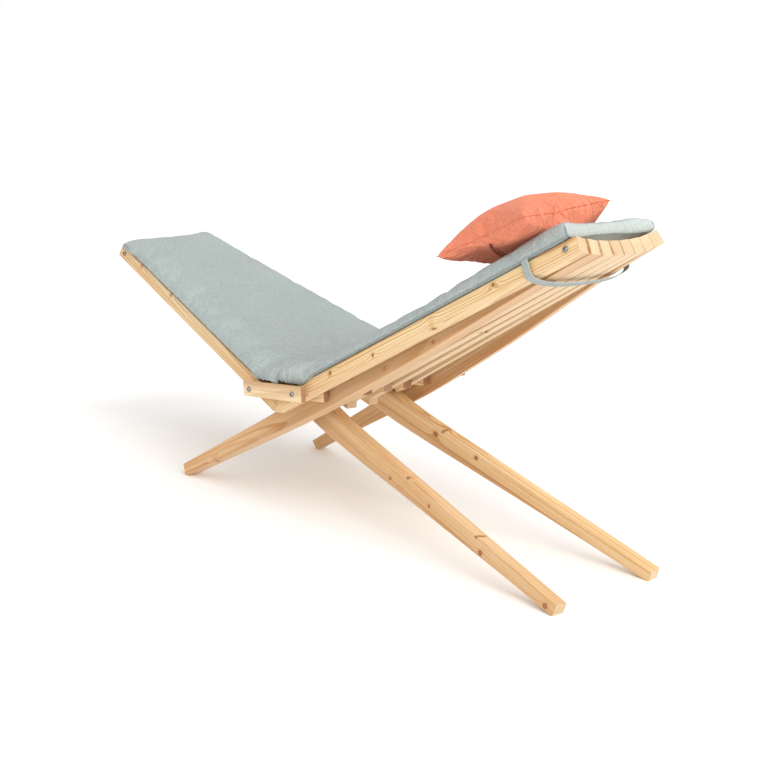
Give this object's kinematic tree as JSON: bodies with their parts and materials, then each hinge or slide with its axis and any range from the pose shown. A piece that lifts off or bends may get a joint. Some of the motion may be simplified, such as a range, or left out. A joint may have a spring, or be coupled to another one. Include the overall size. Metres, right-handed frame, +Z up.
{
  "type": "reclining armchair",
  "caption": "Low folding lounger of wooden battens strung on cables, with a crossed leg frame, long mattress, back strap and scatter cushion.",
  "frame": {"origin": "centre of the bounding box, on the floor", "axes": "+Z up, +Y from the foot end to the head end, +X across, the hinge axes run along X"},
  "size_m": [0.5396, 1.7054, 0.8374],
  "materials": {
    "wood": "oiled softwood, planed, with knots",
    "steel": "zinc plated",
    "cable_steel": "drawn wire",
    "mattress_cloth": "plain weave canvas, matt",
    "pillow_cloth": "plain weave cotton, matt"
  },
  "bodies": {
    "seat": {"seat_stick_1": "wood", "seat_stick_2": "wood", "seat_stick_3": "wood", "seat_stick_4": "wood", "seat_stick_5": "wood", "seat_stick_6": "wood", "seat_stick_7": "wood", "seat_stick_8": "wood", "seat_cable": "cable_steel", "seat_cable_heads": "steel", "mattress_seat": "mattress_cloth"},
    "links": {"link_1": "wood", "link_2": "wood", "link_3": "wood", "link_4": "wood", "link_5": "wood", "link_6": "wood", "link_7": "wood", "link_8": "wood", "link_9": "wood", "rod_seat": "steel", "rod_back": "steel", "link_heads": "steel", "mattress_middle": "mattress_cloth"},
    "back": {"back_stick_1": "wood", "back_stick_2": "wood", "back_stick_3": "wood", "back_stick_4": "wood", "back_stick_5": "wood", "back_stick_6": "wood", "back_stick_7": "wood", "back_stick_8": "wood", "back_cable": "cable_steel", "back_cable_heads": "steel", "mattress_back": "mattress_cloth", "strap": "mattress_cloth", "pillow": "pillow_cloth"}
  },
  "joints": [
    {"name": "seat_fold", "type": "hinge", "parent": "seat", "child": "links", "pos_m": [0, -0.04499, 0.29809], "axis": [1, 0, 0], "range_deg": [0, 45]},
    {"name": "back_fold", "type": "hinge", "parent": "links", "child": "back", "pos_m": [0, 0.11781, 0.31877], "axis": [1, 0, 0], "range_deg": [0, 45]}
  ]
}
